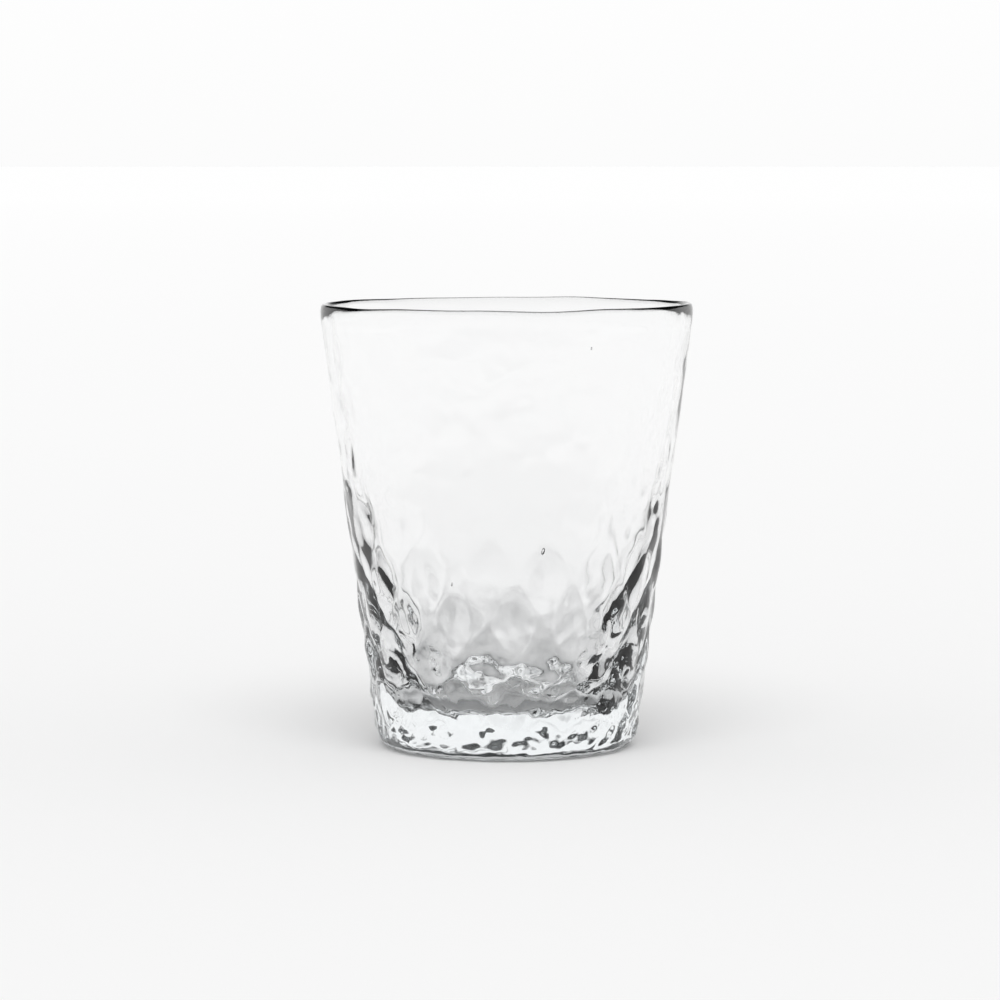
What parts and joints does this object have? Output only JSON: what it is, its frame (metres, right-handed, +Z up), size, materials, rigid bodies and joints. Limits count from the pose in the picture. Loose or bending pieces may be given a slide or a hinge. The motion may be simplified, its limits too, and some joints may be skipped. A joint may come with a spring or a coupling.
{
  "type": "drinking glass",
  "caption": "Clear blown tumbler with a thick solid base, a sloping wall patterned with soft diamonds and a plain rounded rim.",
  "frame": {"origin": "centre of the resting ring under the base, on the table", "axes": "+Z up along the axis of the glass, through the open mouth; +X lies on the middle line of one column of diamonds"},
  "size_m": [0.0836, 0.0836, 0.1],
  "materials": {
    "clear_glass": "clear, colourless glass with a faint cool grey in its thick base, fire-polished all over, with soft mould-blown diamonds outside"
  },
  "bodies": {
    "root": {"base": "clear_glass", "wall": "clear_glass", "rim": "clear_glass"}
  },
  "joints": []
}
